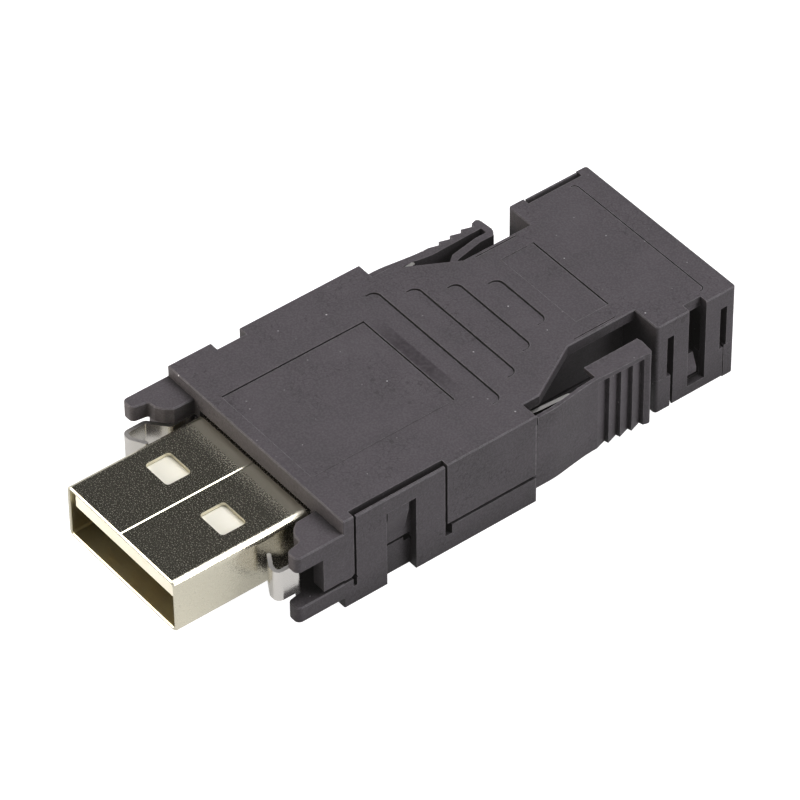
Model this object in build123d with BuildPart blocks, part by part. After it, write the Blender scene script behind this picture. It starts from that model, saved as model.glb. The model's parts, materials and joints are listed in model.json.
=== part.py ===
"""USB-A plug for fitting to a cable in the field.

Two identical half shells snap round a standard USB-A plug insert. The lower half is the upper half
turned over about the plug's long axis, so every feature is described once, on the upper half.
Frame in millimetres: x across the plug, y from the mouth (0) to the cable end, z up, and the plug's
long axis is x = z = 0. Sizes run in chains, outwards from the insert and back from its mouth.
"""
import os

from build123d import *

os.makedirs("parts", exist_ok=True)

# Plug insert
shield_half_width = 6.0
shield_half_height = 2.25
shield_sheet = 0.3
shield_corner = 0.5
shield_grip = 7.75
shield_edge_break = 0.08
window_x = 1.75
window_width = 2.55
window_y = 5.1
window_length = 2.06
window_corner = 0.3
seam_width = 0.05
seam_bevel = 0.06
tongue_front_y = 0.3
tongue_side_gap = 0.25
tongue_low_z = 0.29
tongue_fit = 0.03
core_front_y = 10.0
core_side_gap = 0.1

# Housing across, from the insert outwards
shield_side_clear = 0.1
divider_thickness = 0.6
strip_channel = 1.35
front_side_wall = 1.57
rear_side_wall = 0.87
shoulder_step = 1.47
taper_inset = 2.55
rear_block_step = 2.4
neck_overhang = 1.2
neck_wall = 0.6
rear_block_wall = 1.2

# Housing height, from the insert outwards
shield_top_clear = 0.18
ceiling_gap = 0.85
plate_thickness = 0.85

# Housing lengths, back from the insert's mouth
front_y = 11.0
main_length = 16.2
shoulder_neck = 1.4
taper_length = 4.5
waist_length = 5.85
rear_block_length = 6.97
front_wall = 1.2
wall_change = 3.6
wall_change_run = 0.7
neck_delay = 2.0
rear_front_wall = 0.85
rear_wall = 0.85
cable_radius = 2.6
cable_collar_length = 3.6
cable_collar_wall = 1.6
edge_break = 0.07
front_corner_break = 0.06
rear_corner_radius = 0.25

# Parting between the two halves
front_seam_drop = 1.42
front_seam_gap = 0.28
rear_seam_drop = 1.00
rear_seam_gap = 0.03
rear_lower_step = 0.16

# Surface features of the plate
label_half_width = 4.95
label_setback = 1.0
label_length = 11.97
label_depth = 0.07
pad_setback = 2.56
pad_pitch = 2.43
pad_half_length = 6.9
pad_half_step = 1.4
pad_count = 4
pad_run = 1.2
pad_corner = 0.6
pad_depth = 0.13
logo_half_width = 4.03
logo_setback = 2.03
logo_length = 2.87
logo_depth = 0.06
rear_line_inset = 1.82
rear_line_side = 1.05
rear_line_corner = 0.4
rear_line_length = 0.45
rear_line_depth = 0.09
lip_line_inset = 0.25
lip_line_setback = 0.8
lip_line_length = 3.6
lip_line_width = 0.08
lip_line_depth = 0.1
outline_groove_width = 0.09
outline_groove_depth = 0.12

# Ears beside the insert
ear_reach = 3.85
ear_finger_width = 1.1
ear_finger_length = 1.25
ear_tip_radius = 0.42
ear_lobe_inset = 3.0
ear_thickness = 1.37
ear_low_z = 1.46
ear_side_shift = 0.25
ear_break = 0.08
ear_bridge_reach = 1.67
ear_bridge_thickness = 1.1
ear_bridge_corner = 0.35

# Front snap tab and its nose
tab_thickness = 0.57
tab_gap = 0.06
tab_tip_thickness = 0.2
tab_lead_in = 1.1
tab_edge_break = 0.08
front_tab_setback = 1.05
front_tab_length = 7.4
front_tab_clear = 0.2
tab_tip_gap = 0.08
front_tab_corner = 0.4
front_window_setback = 2.51
front_window_length = 2.46
front_window_bridge = 1.3
front_nose_clear = 0.2
front_nose_rear_clear = 0.5
front_nose_slack = 0.1
front_nose_straight = 0.7
front_nose_foot = 0.93
front_nose_set_back = 0.15
front_recess_floor = 0.8
front_recess_gap = 0.42
front_pocket_width = 0.3
front_pocket_depth = 0.67
rear_pocket_width = 0.57
rear_pocket_depth = 0.77

# Rear snap tab and its nose
rear_tab_setback = 1.53
rear_tab_length = 4.12
rear_tab_foot = 0.33
rear_slit_width = 0.58
rear_slit_foot_gap = 0.23
rear_slit_stop = 1.45
rear_window_setback = 1.3
rear_window_length = 1.53
rear_window_bridge = 0.85
rear_nose_length = 0.72
rear_nose_start = 0.25
rear_nose_slack = 0.45
rear_nose_height = 1.8
rear_nose_rise = 0.42
rear_notch_depth = 0.69

# Squeeze lever
lever_root_radius = 0.45
lever_root_clear = 0.02
lever_root_setback = 0.1
lever_low_z = 2.7
lever_top_gap = 0.25
lever_skin = 0.35
lever_wall = 0.88
lever_rim = 0.28
lever_rim_floor = 0.4
lever_end_gap = 1.43
lever_end_wall = 0.55
lever_end_radius = 0.25
grip_length = 3.72
grip_inset = 0.40
grip_outward = 0.025
tooth_pitch = 0.99
tooth_count = 4
tooth_depth = 0.32
skin_start = 1.05
leg_inset = 2.22
leg_thickness = 0.55
leg_top_z = 0.8

# Latch strip
strip_thickness = 0.3
strip_stand_off = 0.4
strip_pivot_setback = 10.0
strip_bend = 0.35
hook_reach = 4.58
hook_outward = 1.37
hook_half_height = 1.3
strip_wide_setback = 3.2
strip_tail_reach = 3.7
strip_tail_outward = 1.32
strip_tail_half_height = 2.85
strip_slot_clear = 0.16
fulcrum_clear = 0.05
fulcrum_radius = 0.3

# Contacts and wire block
contact_pitch_inner = 2.0
contact_pitch_outer = 2.5
contact_width = 1.0
contact_thickness = 0.25
contact_proud = 0.1
contact_front_y = 1.4
contact_bend_setback = 2.1
fork_height = 2.1
fork_slot = 0.3
fork_slot_depth = 1.1
slot_fit = 0.04
block_setback = 0.35
block_length = 5.8
block_side_gap = 0.08
block_wall = 2.2
block_floor_gap = 0.08
block_top_rise = 0.11
post_width = 0.5
post_inset = 1.2
cap_gap = 0.05
cap_inset = 0.3
wire_radius = 0.55
wire_rise = 0.7

# Inner shields and ferrule
inner_sheet = 0.2
inner_clear = 0.07
inner_setback = 0.15
inner_end_gap = 0.55
barrel_radius = 1.9
barrel_length = 8.4
half_gap = 0.04
ferrule_gap = 0.1
ferrule_sheet = 0.35
ferrule_setback = 2.8
ferrule_length = 4.6

chamber_half_width = shield_half_width + shield_side_clear
divider_x = chamber_half_width + divider_thickness
channel_front_x = divider_x + strip_channel
housing_half_width = channel_front_x + front_side_wall
channel_rear_x = housing_half_width - rear_side_wall
shoulder_x = housing_half_width - shoulder_step
waist_half_width = shoulder_x - taper_inset
rear_half_width = waist_half_width + rear_block_step
neck_face_x = waist_half_width - neck_overhang
neck_half_width = neck_face_x - neck_wall
rear_chamber_half_width = rear_half_width - rear_block_wall
plate_under = shield_half_height + ceiling_gap
housing_half_height = plate_under + plate_thickness
shoulder_y = front_y + main_length
shoulder_neck_y = shoulder_y + shoulder_neck
taper_end_y = shoulder_neck_y + taper_length
rear_block_y = taper_end_y + waist_length
rear_end_y = rear_block_y + rear_block_length
shield_length = front_y + shield_grip
block_y = shield_length + block_setback
block_end_y = block_y + block_length
inner_y = shield_length + inner_setback
inner_end_y = block_end_y + inner_end_gap
neck_start_y = max(shoulder_y, inner_end_y) + neck_delay
front_high_z = front_seam_drop + front_seam_gap
rear_high_z = rear_seam_drop + rear_seam_gap
slot_floor_x = housing_half_width - tab_thickness - tab_gap
rear_slot_floor_x = rear_half_width - tab_thickness - tab_gap
tab_reach = housing_half_height - tab_tip_gap
far = 100.0


def block(x0, x1, y0, y1, z0, z1, mode=Mode.ADD):
    """Straight block between two opposite corners."""
    with Locations(((x0 + x1) / 2, (y0 + y1) / 2, (z0 + z1) / 2)):
        Box(abs(x1 - x0), abs(y1 - y0), abs(z1 - z0), mode=mode)


def outline(points, z, corners=(), radius=0.0):
    """Closed plan outline at one height, with the named corners rounded."""
    with BuildSketch(Plane.XY.offset(z), mode=Mode.PRIVATE) as plan:
        with BuildLine():
            Polyline(*points, close=True)
        make_face()
        for spot in corners:
            fillet(plan.vertices().sort_by_distance((spot[0], spot[1], z))[0], radius)
    return plan.sketch


def prism(points, z0, z1, mode=Mode.ADD, corners=(), radius=0.0):
    """Plan outline raised from one height to another."""
    extrude(outline(points, z0, corners, radius), amount=z1 - z0, mode=mode)


def rod(x, y, radius, z0, z1, mode=Mode.ADD):
    """Upright round bar."""
    with Locations((x, y, (z0 + z1) / 2)):
        Cylinder(radius, z1 - z0, mode=mode)


def end_outline(points, y0, y1, mode=Mode.ADD):
    """Outline in the x-z plane, carried along y."""
    with BuildSketch(Plane.XZ.offset(-y0), mode=Mode.PRIVATE) as side:
        with BuildLine():
            Polyline(*points, close=True)
        make_face()
    extrude(side.sketch, amount=-(y1 - y0), mode=mode)


def mirror_x(points):
    """The same outline on the other side of the plug's middle."""
    return [(-x, y) for x, y in points]


right_half_plan = [
    (0, front_y),
    (housing_half_width, front_y),
    (housing_half_width, shoulder_y),
    (shoulder_x, shoulder_y),
    (shoulder_x, shoulder_neck_y),
    (waist_half_width, taper_end_y),
    (waist_half_width, rear_block_y),
    (rear_half_width, rear_block_y),
    (rear_half_width, rear_end_y),
    (0, rear_end_y),
]
housing_plan = right_half_plan + mirror_x(right_half_plan[1:-1])[::-1]

chamber_plan = [
    (chamber_half_width, front_y + front_wall),
    (chamber_half_width, inner_end_y + 0.2),
    (neck_half_width, neck_start_y),
    (neck_half_width, rear_block_y - 1.0),
]

lever_bay = [
    (divider_x, front_y + front_wall),
    (channel_front_x, front_y + front_wall),
    (channel_front_x, shoulder_y - wall_change),
    (channel_rear_x, shoulder_y - wall_change + wall_change_run),
    (channel_rear_x, shoulder_y),
    (far, shoulder_y),
    (far, rear_block_y),
    (neck_face_x, rear_block_y),
    (neck_face_x, neck_start_y),
    (divider_x, inner_end_y),
]

ear_tip_y = front_y - ear_reach
finger_x = housing_half_width - ear_finger_width
ear_plan = [
    (housing_half_width, front_y + 0.6),
    (housing_half_width, ear_tip_y),
    (finger_x, ear_tip_y),
    (finger_x - 0.2, ear_tip_y + ear_finger_length),
    (finger_x - 0.85, ear_tip_y + ear_finger_length + 0.05),
    (finger_x - 1.4, ear_tip_y + ear_finger_length + 0.4),
    (housing_half_width - ear_lobe_inset + 0.08, front_y - 1.65),
    (housing_half_width - ear_lobe_inset, front_y + 0.6),
]


def ear(points, low_z):
    """One ear plate with its tip rounded and its faces' edges broken."""
    with BuildPart(mode=Mode.PRIVATE) as plate:
        extrude(outline(points, low_z, [points[1], points[2]], ear_tip_radius), amount=ear_thickness)
        fillet(plate.edges().filter_by(Axis.Z).sort_by_distance((*points[3], low_z))[0], 0.25)
        fillet(plate.edges().filter_by(Axis.Z).sort_by_distance((*points[5], low_z))[0], 0.5)
        chamfer(plate.faces().sort_by(Axis.Z)[-1].edges(), ear_break)
        chamfer(plate.faces().sort_by(Axis.Z)[0].edges(), ear_break)
    return plate.part


def tab_edge(face_x, inward):
    """Corner to cut away along a tab's free outer edge."""
    return [
        (face_x - inward * 0.1, -tab_reach - 0.1),
        (face_x - inward * 0.1, -tab_reach + tab_edge_break),
        (face_x, -tab_reach + tab_edge_break),
        (face_x + inward * tab_edge_break, -tab_reach),
        (face_x + inward * tab_edge_break, -tab_reach - 0.1),
    ]


with BuildPart() as upper_shell:
    # Whole outline with its rim broken, then each side cut back to its seam
    prism(housing_plan, -front_seam_drop, housing_half_height)
    upright = upper_shell.edges().filter_by(Axis.Z)
    rear_corners = upright.group_by(Axis.Y)[-1]
    front_corners = upright.group_by(Axis.Y)[0]
    block_corners = [upright.sort_by_distance((side * rear_half_width, rear_block_y, 0))[0] for side in (1, -1)]
    fillet([*rear_corners, *block_corners], rear_corner_radius)
    chamfer(front_corners, front_corner_break)
    chamfer(upper_shell.faces().sort_by(Axis.Z)[-1].edges(), edge_break)
    block(-far, far, rear_block_y - 2.0, far * 2, -front_seam_drop, -rear_seam_drop, Mode.SUBTRACT)
    block(-far, 0, 0, rear_block_y - 2.0, -front_seam_drop, front_high_z, Mode.SUBTRACT)
    block(-far, 0, rear_block_y - 2.0, far * 2, -front_seam_drop, rear_high_z, Mode.SUBTRACT)

    # Chamber for the wire block, its narrow neck, and the opening for the insert
    prism(chamber_plan + mirror_x(chamber_plan)[::-1], -far, plate_under, Mode.SUBTRACT)
    block(
        -chamber_half_width, chamber_half_width, front_y - 1.0, front_y + front_wall + 0.1,
        -far, shield_half_height + shield_top_clear, Mode.SUBTRACT,
    )

    # Bays for the latch strips and levers, and the slots that let the strips out at the front
    prism(lever_bay, -far, plate_under, Mode.SUBTRACT)
    prism(mirror_x(lever_bay), -far, plate_under, Mode.SUBTRACT)
    block(
        divider_x, channel_front_x, front_y - 1.0, front_y + front_wall + 0.1,
        -far, hook_half_height + strip_slot_clear, Mode.SUBTRACT,
    )
    block(
        -channel_front_x, -divider_x, front_y - 1.0, front_y + front_wall + 0.1,
        -far, front_high_z, Mode.SUBTRACT,
    )

    # Ribs that the strips rock between
    pivot_y = front_y + strip_pivot_setback
    strip_x = divider_x + strip_stand_off
    rib_reach = strip_thickness / 2 + fulcrum_clear + fulcrum_radius
    for side in (1, -1):
        low = -front_seam_drop if side > 0 else front_high_z
        for rib_x, wall_x in ((strip_x - rib_reach, divider_x - 0.2), (strip_x + rib_reach, channel_front_x + 0.2)):
            rod(side * rib_x, pivot_y, fulcrum_radius, low, plate_under + 0.2)
            block(side * rib_x, side * wall_x, pivot_y - fulcrum_radius, pivot_y + fulcrum_radius,
                  low, plate_under + 0.2)

    # Rear chamber, with a solid collar round the cable
    collar_y = rear_end_y - cable_collar_length
    collar_half_width = cable_radius + cable_collar_wall
    block(-rear_chamber_half_width, rear_chamber_half_width, rear_block_y + rear_front_wall,
          collar_y, -far, plate_under, Mode.SUBTRACT)
    for side in (1, -1):
        block(side * collar_half_width, side * rear_chamber_half_width,
              collar_y - 0.1, rear_end_y - rear_wall, -far, plate_under, Mode.SUBTRACT)
    with Locations(Location((0, rear_end_y, 0), (90, 0, 0))):
        Cylinder(cable_radius, 2 * (rear_block_length + 2.0), mode=Mode.SUBTRACT)

    # Ears: finger plates above and below the hooks, joined by a bridge at the tall side
    add(ear(ear_plan, ear_low_z))
    add(ear(mirror_x(ear_plan), ear_low_z + ear_side_shift))
    block(housing_half_width - ear_bridge_thickness, housing_half_width,
          front_y - ear_bridge_reach, front_y + 0.5, -front_seam_drop + 0.07, ear_low_z + 0.1)

    # Slot for the other half's front tab, at the right, with the snap nose left standing in it
    front_tab_y = front_y + front_tab_setback
    front_tab_end = front_tab_y + front_tab_length
    front_window_y = front_tab_y + front_window_setback
    front_window_end = front_window_y + front_window_length
    front_window_z = tab_reach - front_window_bridge
    block(slot_floor_x, far, front_tab_y - front_tab_clear, front_tab_end + front_tab_clear,
          -far, far, Mode.SUBTRACT)
    nose_top_z = front_window_z - front_nose_slack
    nose_face_x = housing_half_width - front_nose_set_back
    front_nose = [
        (slot_floor_x - 0.3, nose_top_z),
        (nose_face_x, nose_top_z),
        (nose_face_x, nose_top_z - front_nose_straight),
        (slot_floor_x - 0.3, -front_nose_foot - 0.65),
    ]
    end_outline(front_nose, front_window_y + front_nose_clear, front_window_end - front_nose_rear_clear)
    block(0, far, front_window_y, front_window_end, -far, -front_nose_foot, Mode.SUBTRACT)
    block(0, far, front_tab_y - front_tab_clear, front_tab_end + front_tab_clear,
          -far, -front_seam_drop, Mode.SUBTRACT)
    bridge_corner = upper_shell.edges().filter_by(Axis.X).sort_by_distance(
        (housing_half_width, front_tab_y - front_tab_clear, -front_seam_drop))[0]
    fillet(bridge_corner, ear_bridge_corner)

    # Front tab at the left: rounded end, lead-in bevel, window open to the top face, root pockets
    with BuildSketch(Plane.YZ.offset(-housing_half_width)) as tab_face:
        with BuildLine():
            Polyline(
                (front_tab_y, front_high_z + 0.1), (front_tab_y, -tab_reach),
                (front_tab_end, -tab_reach), (front_tab_end, front_high_z + 0.1), close=True,
            )
        make_face()
        fillet(tab_face.vertices().sort_by_distance((-housing_half_width, front_tab_end, -tab_reach))[0],
               front_tab_corner)
    extrude(amount=tab_thickness)
    block(-far, -slot_floor_x, front_tab_y - front_pocket_width, front_tab_y,
          front_high_z - 0.1, front_high_z + front_pocket_depth, Mode.SUBTRACT)
    block(-far, -slot_floor_x, front_tab_end, front_tab_end + rear_pocket_width,
          front_high_z - 0.1, front_high_z + rear_pocket_depth, Mode.SUBTRACT)
    block(-channel_front_x, -housing_half_width + front_recess_floor,
          front_window_y + front_nose_clear, front_window_end - front_nose_rear_clear,
          front_nose_foot + front_recess_gap, front_high_z + 0.1)
    block(-far, -housing_half_width + front_recess_floor, front_window_y, front_window_end,
          -front_window_z, far, Mode.SUBTRACT)
    front_lead_in = [
        (-housing_half_width + tab_thickness + 0.1, -tab_reach - 0.1),
        (-housing_half_width + tab_thickness + 0.1, -tab_reach + tab_lead_in),
        (-housing_half_width + tab_thickness, -tab_reach + tab_lead_in),
        (-housing_half_width + tab_tip_thickness, -tab_reach),
        (-housing_half_width + tab_tip_thickness, -tab_reach - 0.1),
    ]
    end_outline(front_lead_in, front_tab_y - 0.1, front_tab_end + 0.1, Mode.SUBTRACT)
    end_outline(tab_edge(-housing_half_width, 1), front_tab_y - 0.1, front_tab_end + 0.1, Mode.SUBTRACT)

    # Rear tab at the right: cut free by two slits with the chamber open behind it, its window open
    # to the top face
    rear_tab_y = rear_block_y + rear_tab_setback
    rear_tab_end = rear_tab_y + rear_tab_length
    rear_window_y = rear_tab_y + rear_window_setback
    rear_window_end = rear_window_y + rear_window_length
    rear_window_z = tab_reach - rear_window_bridge
    slit_top_z = housing_half_height - rear_slit_stop
    block(rear_half_width - tab_thickness, rear_half_width, rear_tab_y, rear_tab_end,
          -tab_reach, -rear_seam_drop + 0.1)
    block(rear_half_width - tab_thickness, rear_half_width, rear_tab_end - 0.1,
          rear_tab_end + rear_tab_foot, -tab_reach, -rear_seam_drop - 0.15)
    block(rear_chamber_half_width - 0.1, rear_half_width - tab_thickness,
          rear_tab_y - rear_slit_width, rear_tab_end + rear_slit_width,
          -rear_seam_drop - 0.01, slit_top_z, Mode.SUBTRACT)
    for slit_y in (rear_tab_y - rear_slit_width, rear_tab_end):
        block(rear_chamber_half_width - 0.1, far, slit_y, slit_y + rear_slit_width,
              -rear_seam_drop - 0.15, slit_top_z, Mode.SUBTRACT)
    block(rear_half_width - rear_notch_depth, far, rear_window_y, rear_window_end,
          -rear_window_z, far, Mode.SUBTRACT)
    block(rear_chamber_half_width - 0.1, far, rear_window_y, rear_window_end,
          -rear_window_z, plate_under, Mode.SUBTRACT)
    rear_lead_in = [
        (rear_half_width - tab_thickness - 0.1, -tab_reach - 0.1),
        (rear_half_width - tab_thickness - 0.1, -tab_reach + tab_lead_in),
        (rear_half_width - tab_thickness, -tab_reach + tab_lead_in),
        (rear_half_width - tab_tip_thickness, -tab_reach),
        (rear_half_width - tab_tip_thickness, -tab_reach - 0.1),
    ]
    end_outline(rear_lead_in, rear_tab_y - 0.1, rear_tab_end + rear_tab_foot + 0.1, Mode.SUBTRACT)
    end_outline(tab_edge(rear_half_width, -1), rear_tab_y - 0.1, rear_tab_end + rear_tab_foot + 0.1,
                Mode.SUBTRACT)

    # Slot for the other half's rear tab, at the left, and the snap nose that its window drops over
    slot_end = rear_tab_end + rear_tab_foot + 0.07
    block(-far, -rear_slot_floor_x, rear_tab_y - rear_slit_foot_gap, slot_end, -far, far, Mode.SUBTRACT)
    block(-rear_slot_floor_x - 0.1, -rear_chamber_half_width + 0.1, rear_window_y, rear_window_end,
          0, rear_window_z, Mode.SUBTRACT)
    ledge_z = rear_window_z - rear_nose_slack
    rear_nose = [
        (-rear_chamber_half_width, ledge_z - rear_nose_height),
        (-rear_slot_floor_x, ledge_z - rear_nose_height),
        (-rear_slot_floor_x - rear_nose_rise, ledge_z - 0.7),
        (-rear_slot_floor_x - rear_nose_rise, ledge_z - 0.3),
        (-rear_slot_floor_x, ledge_z),
        (-rear_chamber_half_width, ledge_z),
    ]
    end_outline(rear_nose, rear_window_y + 0.12, rear_window_y + rear_nose_start + rear_nose_length)
    block(-rear_slot_floor_x, -rear_chamber_half_width, rear_window_y - 0.5,
          rear_window_y + rear_nose_start + rear_nose_length, rear_high_z, ledge_z)

    # The end face of the short side stands back a little
    block(-far, 0, rear_end_y - rear_lower_step, far * 2, -far, rear_high_z + 0.01, Mode.SUBTRACT)

    # Seats that the lever roots turn in
    hinge_x = housing_half_width - lever_root_radius - lever_root_clear
    hinge_y = shoulder_y + lever_root_setback
    for side in (1, -1):
        rod(side * hinge_x, hinge_y, lever_root_radius + lever_root_clear, -far, plate_under, Mode.SUBTRACT)

    # Label and logo recesses, the line along the rear edge and the lip line beside each lever
    label_y = front_y + label_setback
    logo_y = taper_end_y + logo_setback
    block(-label_half_width, label_half_width, label_y, label_y + label_length,
          housing_half_height - label_depth, far, Mode.SUBTRACT)
    block(-logo_half_width, logo_half_width, logo_y, logo_y + logo_length,
          housing_half_height - logo_depth, far, Mode.SUBTRACT)
    line_half_width = rear_half_width - rear_line_side
    line_y = rear_end_y - rear_line_inset
    with BuildPart(mode=Mode.PRIVATE) as rear_line:
        with BuildSketch(Plane.XY.offset(housing_half_height)):
            with Locations((0, line_y - 1.0)):
                RectangleRounded(2 * line_half_width, 2.0, rear_line_corner)
                RectangleRounded(
                    2 * (line_half_width - outline_groove_width), 2.0 - 2 * outline_groove_width,
                    rear_line_corner - outline_groove_width, mode=Mode.SUBTRACT,
                )
        extrude(amount=rear_line_depth, both=True)
        block(-far, far, line_y - rear_line_length, line_y, 0, far, Mode.INTERSECT)
    add(rear_line.part, mode=Mode.SUBTRACT)
    for side in (1, -1):
        lip_x = waist_half_width - lip_line_inset
        block(side * (lip_x - lip_line_width), side * lip_x, taper_end_y + lip_line_setback,
              taper_end_y + lip_line_setback + lip_line_length,
              housing_half_height - lip_line_depth, far, Mode.SUBTRACT)

    # Fine grooves that sharpen the far edges of the recesses and the label's left edge
    for half, edge_y, depth in (
        (label_half_width, label_y + label_length, label_depth),
        (logo_half_width, logo_y + logo_length, logo_depth),
    ):
        block(-half, half, edge_y - outline_groove_width, edge_y,
              housing_half_height - depth - outline_groove_depth, far, Mode.SUBTRACT)
    block(-label_half_width, -label_half_width + outline_groove_width, label_y, label_y + label_length,
          housing_half_height - label_depth - outline_groove_depth, far, Mode.SUBTRACT)

    # Thumb ramps: each floor falls towards the cable end and stops at a crisp, grooved step
    for index in range(pad_count):
        y_far = label_y + label_length + pad_setback + index * pad_pitch
        half = pad_half_length - index * pad_half_step
        with BuildSketch(Plane.XY.offset(housing_half_height), mode=Mode.PRIVATE) as ramp_plan:
            with Locations((0, y_far - pad_run)):
                RectangleRounded(2 * half, 2 * pad_run, pad_corner)
        with BuildPart(mode=Mode.PRIVATE) as ramp:
            extrude(ramp_plan.sketch, amount=pad_depth, both=True)
            with BuildSketch(Plane.YZ):
                with BuildLine():
                    Polyline(
                        (y_far - pad_run, housing_half_height),
                        (y_far, housing_half_height - pad_depth),
                        (y_far, housing_half_height + 1.0),
                        (y_far - pad_run, housing_half_height + 1.0),
                        close=True,
                    )
                make_face()
            extrude(amount=half + 1.0, both=True, mode=Mode.INTERSECT)
        add(ramp.part, mode=Mode.SUBTRACT)
        with BuildPart(mode=Mode.PRIVATE) as step_groove:
            with BuildSketch(Plane.XY.offset(housing_half_height)):
                with Locations((0, y_far - pad_run)):
                    RectangleRounded(2 * half, 2 * pad_run, pad_corner)
                    RectangleRounded(
                        2 * (half - outline_groove_width), 2 * (pad_run - outline_groove_width),
                        pad_corner - outline_groove_width, mode=Mode.SUBTRACT,
                    )
            extrude(amount=pad_depth + outline_groove_depth / 2, both=True)
            block(-half, half, y_far - 0.75 * pad_run, y_far, 0, far, Mode.INTERSECT)
        add(step_groove.part, mode=Mode.SUBTRACT)
upper_shell.part.label = "upper_shell"

with BuildPart() as lower_shell:
    add(upper_shell.part, rotation=(0, 180, 0))
lower_shell.part.label = "lower_shell"

# Lever: root, smooth arm, grip teeth, rounded end
outer_x = hinge_x + lever_root_radius
lever_end_y = rear_block_y - lever_end_gap
grip_y = lever_end_y - grip_length
grip_x = housing_half_width - grip_inset
lever_high_z = housing_half_height - lever_top_gap
skin_y = grip_y - skin_start
end_x = housing_half_width - leg_inset
teeth = [(grip_x - tooth_depth, grip_y - 0.08)]
for index in range(tooth_count):
    tip_x = grip_x + index * grip_outward
    tip_y = grip_y + index * tooth_pitch
    teeth.append((tip_x, tip_y))
    teeth.append((tip_x + grip_outward - tooth_depth, tip_y + tooth_pitch - 0.08))
teeth[-1] = (grip_x + 0.18, lever_end_y - 0.42)
lever_tip = [(grip_x + 0.23, lever_end_y - 0.19), (grip_x - 0.15, lever_end_y - 0.08),
             (grip_x - 1.19, lever_end_y), (end_x + 0.3, lever_end_y - 0.1)]
arm_inner = [
    (end_x, lever_end_y - lever_end_wall),
    (grip_x - 0.72, lever_end_y - lever_end_wall),
    (grip_x - 0.8, skin_y - 0.15),
    (outer_x - lever_wall, shoulder_y + 3.75),
    (hinge_x - lever_root_radius, hinge_y),
    (hinge_x, hinge_y),
]


def lever_plan(grip_points, inner_points, z):
    """Plan of the lever: a smooth curve along the arm, then the grip and the inside."""
    start = (outer_x, shoulder_y + 1.2)
    with BuildSketch(Plane.XY.offset(z), mode=Mode.PRIVATE) as plan:
        with BuildLine():
            Line((outer_x, hinge_y), start)
            Spline(start, (outer_x - 0.13, shoulder_y + 2.6), (outer_x - 0.33, shoulder_y + 4.0),
                   (grip_x - 0.06, skin_y + 0.1), tangents=((0, 1), (0, 1)))
            Polyline((grip_x - 0.06, skin_y + 0.1), *grip_points, *inner_points, (outer_x, hinge_y))
        make_face()
    return plan.sketch


with BuildPart() as right_release_lever:
    extrude(lever_plan(teeth + lever_tip, arm_inner, -lever_low_z),
            amount=lever_low_z + lever_high_z - lever_skin)
    rod(hinge_x, hinge_y, lever_root_radius, -lever_low_z, plate_under - lever_root_clear)
    # Skin over the grip: its outline runs straight over the teeth
    skin_grip = [(grip_x, grip_y), teeth[-2], teeth[-1], *lever_tip]
    skin_inner = [(end_x + 0.3, skin_y), (grip_x - 0.8, skin_y), *arm_inner[3:]]
    extrude(lever_plan(skin_grip, skin_inner, lever_high_z - lever_skin), amount=lever_skin)
    # The arm is pocketed to a thin rim from above
    pocket = [
        (outer_x - lever_rim, hinge_y),
        (outer_x - lever_rim, shoulder_y + 1.3),
        (outer_x - lever_rim - 0.13, shoulder_y + 2.6),
        (outer_x - lever_rim - 0.33, shoulder_y + 4.0),
        (grip_x - lever_rim - 0.06, skin_y + 0.05),
        (grip_x - 3.0, skin_y + 0.05),
        (outer_x - 3.0, hinge_y),
    ]
    prism(pocket, lever_rim_floor, far, Mode.SUBTRACT)
    block(hinge_x - 2.0, hinge_x + 2.0, 0, shoulder_y + lever_root_clear,
          plate_under - lever_root_clear, far, Mode.SUBTRACT)
    # Inner leg that comes forward from the end wall to meet the strip
    leg = [
        (end_x, lever_end_y - 0.3),
        (end_x, lever_end_y - 1.52),
        (end_x - 0.46, lever_end_y - 3.82),
        (end_x - 0.72, lever_end_y - 4.37),
        (end_x - 0.45, lever_end_y - 4.57),
        (end_x - 0.38 + leg_thickness, lever_end_y - 3.82),
        (end_x + leg_thickness, lever_end_y - 1.52),
        (end_x + leg_thickness, lever_end_y - 0.3),
    ]
    prism(leg, -lever_low_z, leg_top_z)
    # Two small ribs stiffen the hollow
    for back in (2.6, 3.75):
        block(grip_x - 1.15, grip_x - 0.7, lever_end_y - back - 0.3, lever_end_y - back,
              -0.8, lever_high_z - lever_skin + 0.1)
    # Rounded end corners
    for spot in (lever_tip[0], lever_tip[2]):
        corner = right_release_lever.edges().filter_by(Axis.Z).sort_by_distance((*spot, 0))[0]
        fillet(corner, lever_end_radius)
right_release_lever.part.label = "right_release_lever"

with BuildPart() as left_release_lever:
    add(right_release_lever.part, rotation=(0, 180, 0))
left_release_lever.part.label = "left_release_lever"


def strip_outline(points, z):
    """Bent strip seen on edge, one sheet thickness wide."""
    with BuildSketch(Plane.XY.offset(z), mode=Mode.PRIVATE) as bent:
        with BuildLine():
            path = FilletPolyline(*points, radius=strip_bend)
            offset(path, amount=strip_thickness / 2, side=Side.BOTH, mode=Mode.REPLACE)
        make_face()
    return bent.sketch


hook_x = strip_x + hook_outward
hook_y = front_y - hook_reach
wide_y = pivot_y + strip_wide_setback
tail_y = shoulder_y + strip_tail_reach
hook_path = [
    (hook_x - 1.68, hook_y + 0.6),
    (hook_x - 0.72, hook_y + 0.04),
    (hook_x - 0.02, hook_y),
    (hook_x, hook_y + 1.73),
    (strip_x, hook_y + 2.88),
    (strip_x, pivot_y),
]
tail_path = [
    (strip_x + 0.3, wide_y),
    (strip_x + strip_tail_outward - 0.17, tail_y - 2.6),
    (strip_x + strip_tail_outward, tail_y),
]

with BuildPart() as right_latch_strip:
    extrude(strip_outline(hook_path + tail_path, -hook_half_height), amount=2 * hook_half_height)
    extrude(strip_outline(tail_path, -strip_tail_half_height), amount=2 * strip_tail_half_height)
right_latch_strip.part.label = "right_latch_strip"

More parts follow.
